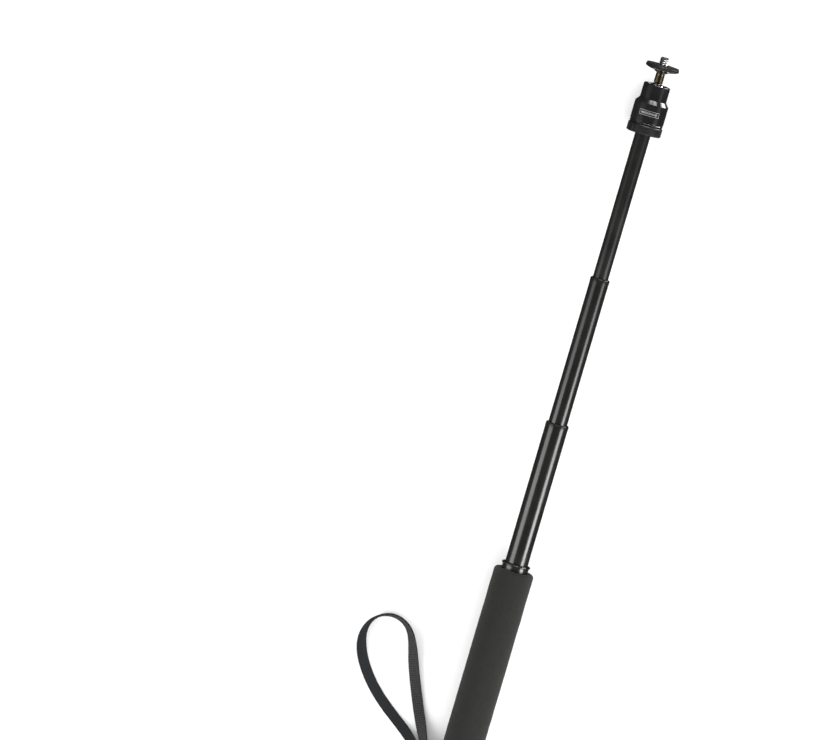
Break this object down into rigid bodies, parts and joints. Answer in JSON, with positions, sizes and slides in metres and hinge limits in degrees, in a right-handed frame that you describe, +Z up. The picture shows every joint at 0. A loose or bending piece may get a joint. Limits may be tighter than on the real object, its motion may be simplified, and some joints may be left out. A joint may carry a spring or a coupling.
{
  "type": "selfie stick",
  "caption": "Telescopic hand-held camera stick with a foam grip, black tube sections that slide, a small ball head with a camera screw, and a wrist strap.",
  "frame": {"origin": "on the surface that the stick lies on, under the middle of the stick's length and width, strap left out", "axes": "+X along the stick, from the end cap to the camera screw; +Z up, away from the surface; +Y to the side where the wrist strap lies"},
  "size_m": [0.5022, 0.0967, 0.0266],
  "materials": {
    "black_tube": "gloss black anodised drawn tube",
    "black_head": "satin black anodised, bright on its turned edges",
    "raw_aluminium": "plain machined",
    "cap_plastic": "fine moulded texture",
    "collar_plastic": "gloss black",
    "grip_foam": "closed-cell foam, matte, fine grain",
    "strap_weave": "flat woven nylon strap",
    "brass": "plain",
    "stem_brass": "turned and polished",
    "chrome": "polished",
    "dish_chrome": "polished, warm",
    "steel": "machined thread",
    "nylon": "natural nylon",
    "pad_rubber": "matte",
    "badge_silver": "printed silver outline on black"
  },
  "bodies": {
    "handle": {"end_cap": "cap_plastic", "handle_tube": "raw_aluminium", "foam_grip": "grip_foam", "handle_collar": "collar_plastic", "strap_crimp": "brass", "wrist_strap": "strap_weave"},
    "lower_slider": {"lower_friction_ring": "brass"},
    "lower_section": {"lower_tube": "black_tube", "lower_plug": "nylon"},
    "middle_slider": {"middle_friction_ring": "brass"},
    "middle_section": {"middle_tube": "black_tube", "middle_plug": "nylon"},
    "upper_slider": {"upper_friction_ring": "brass"},
    "upper_section": {"upper_tube": "black_tube", "upper_plug": "nylon", "top_plug": "nylon", "head_stud": "steel", "head_core": "raw_aluminium", "head_housing": "black_head", "badge_plate": "badge_silver"},
    "lock_ring": {"lock_ring": "black_head"},
    "pressure_cup": {"pressure_cup": "nylon", "cam_pin": "steel"},
    "ball_pan": {"seat_ring": "nylon"},
    "ball_tilt": {"ball": "chrome", "ball_stem": "stem_brass"},
    "camera_seat": {"stem_collar": "black_head", "dish_washer": "dish_chrome", "camera_plate": "black_head", "rubber_pad": "pad_rubber", "camera_screw": "steel"}
  },
  "joints": [
    {"name": "lower_slide", "type": "slide", "parent": "handle", "child": "lower_slider", "axis": [1, 0, 0], "range_m": [-0.0923, 0]},
    {"name": "lower_twist", "type": "hinge", "parent": "lower_slider", "child": "lower_section", "pos_m": [-0.1271, 0, 0.01331], "axis": [1, 0, 0], "continuous": true},
    {"name": "middle_slide", "type": "slide", "parent": "lower_section", "child": "middle_slider", "axis": [1, 0, 0], "range_m": [-0.0951, 0]},
    {"name": "middle_twist", "type": "hinge", "parent": "middle_slider", "child": "middle_section", "pos_m": [-0.0209, 0, 0.01331], "axis": [1, 0, 0], "continuous": true},
    {"name": "upper_slide", "type": "slide", "parent": "middle_section", "child": "upper_slider", "axis": [1, 0, 0], "range_m": [-0.0965, 0]},
    {"name": "upper_twist", "type": "hinge", "parent": "upper_slider", "child": "upper_section", "pos_m": [0.0867, 0, 0.01331], "axis": [1, 0, 0], "continuous": true},
    {"name": "lock_ring_turn", "type": "hinge", "parent": "upper_section", "child": "lock_ring", "pos_m": [0.2004, 0, 0.01331], "axis": [1, 0, 0], "range_deg": [-270, 0]},
    {"name": "cup_slide", "type": "slide", "parent": "upper_section", "child": "pressure_cup", "axis": [1, 0, 0], "range_m": [-0.00076, 0]},
    {"name": "ball_pan", "type": "hinge", "parent": "upper_section", "child": "ball_pan", "pos_m": [0.2283, 0, 0.01331], "axis": [1, 0, 0], "continuous": true},
    {"name": "ball_tilt", "type": "hinge", "parent": "ball_pan", "child": "ball_tilt", "pos_m": [0.2283, 0, 0.01331], "axis": [0, 0, 1], "range_deg": [-32, 32]},
    {"name": "camera_turn", "type": "hinge", "parent": "ball_tilt", "child": "camera_seat", "pos_m": [0.2405, 0, 0.01331], "axis": [1, 0, 0], "continuous": true}
  ],
  "couplings": [
    {"joint": "cup_slide", "follows": "lock_ring_turn", "m_per_rad": 0.00015915}
  ]
}
